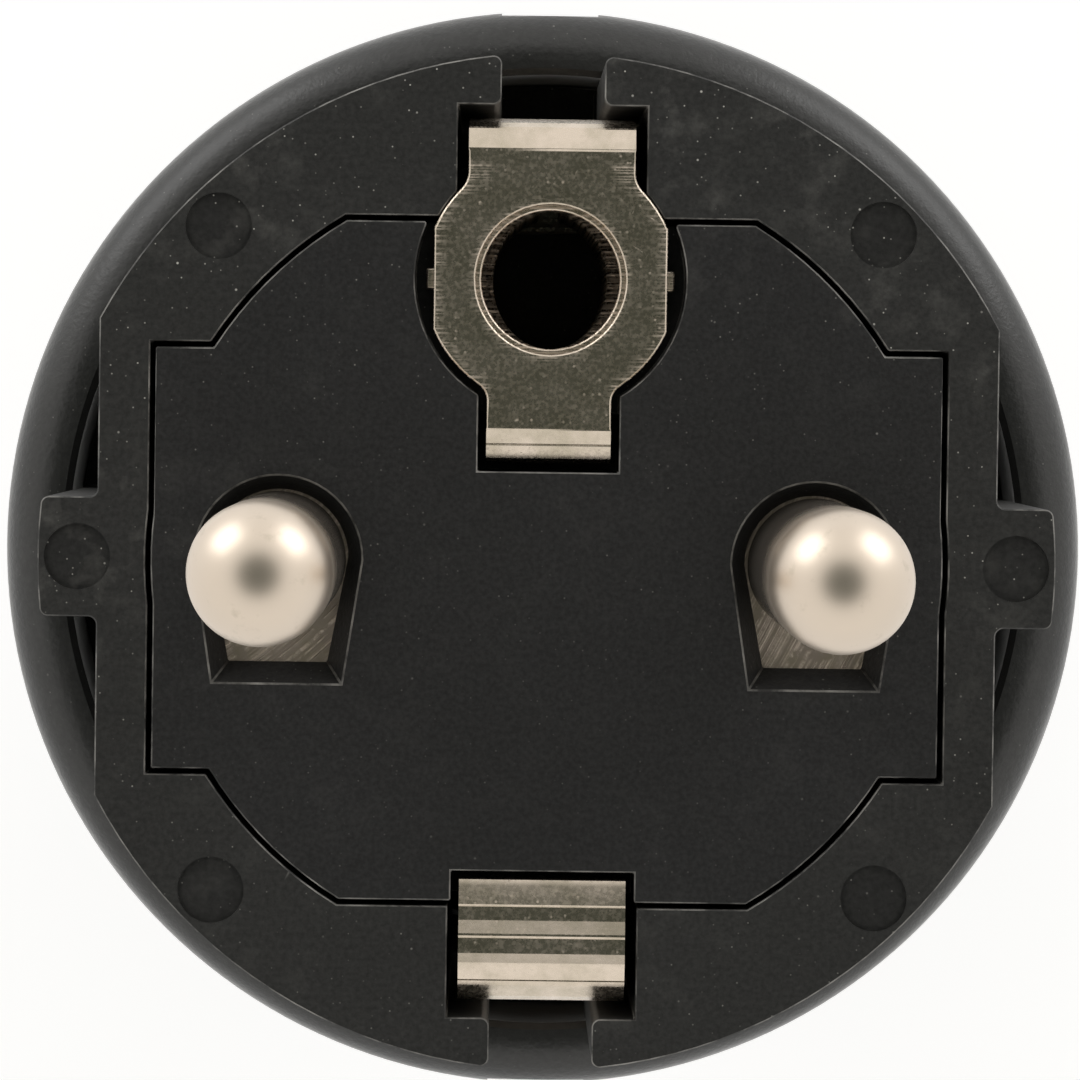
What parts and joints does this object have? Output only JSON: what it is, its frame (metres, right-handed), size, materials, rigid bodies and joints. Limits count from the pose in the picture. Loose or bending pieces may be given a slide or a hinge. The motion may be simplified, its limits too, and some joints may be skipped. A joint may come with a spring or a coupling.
{
  "type": "type f plug",
  "caption": "Round earthed mains plug with two round pins, side earth clips, an earth hole for a fixed socket pin, and a screwed cable gland.",
  "frame": {"origin": "centre of the gland nut's rear face, on which the plug stands", "axes": "+Z the way the pins point, +Y towards the earth hole, +X towards the neutral pin"},
  "size_m": [0.0412, 0.041, 0.077],
  "materials": {
    "housing_plastic": "moulded black thermoplastic, matt",
    "collar_plastic": "moulded black thermoplastic, matt, scuffed",
    "carrier_plastic": "moulded black thermoplastic, matt",
    "washer_plastic": "natural polyamide",
    "pin_nickel": "nickel-plated turned brass",
    "contact_nickel": "nickel-plated pressed strip",
    "terminal_brass": "plain turned brass",
    "screw_steel": "zinc-plated steel",
    "seal_rubber": "soft black rubber"
  },
  "bodies": {
    "root": {"outer_shell": "housing_plastic", "gland_nut": "housing_plastic", "collar": "collar_plastic", "contact_carrier": "carrier_plastic", "pin_retainer": "carrier_plastic", "line_pin": "pin_nickel", "neutral_pin": "pin_nickel", "earth_bow": "contact_nickel", "earth_sleeve": "contact_nickel", "earth_nut": "terminal_brass", "earth_clamp_washer": "screw_steel", "line_terminal_screw": "screw_steel", "neutral_terminal_screw": "screw_steel", "earth_terminal_screw": "screw_steel", "retainer_screw_left": "screw_steel", "retainer_screw_right": "screw_steel", "housing_screw_left": "screw_steel", "housing_screw_right": "screw_steel", "gland_seal": "seal_rubber", "gland_washer": "washer_plastic"}
  },
  "joints": []
}
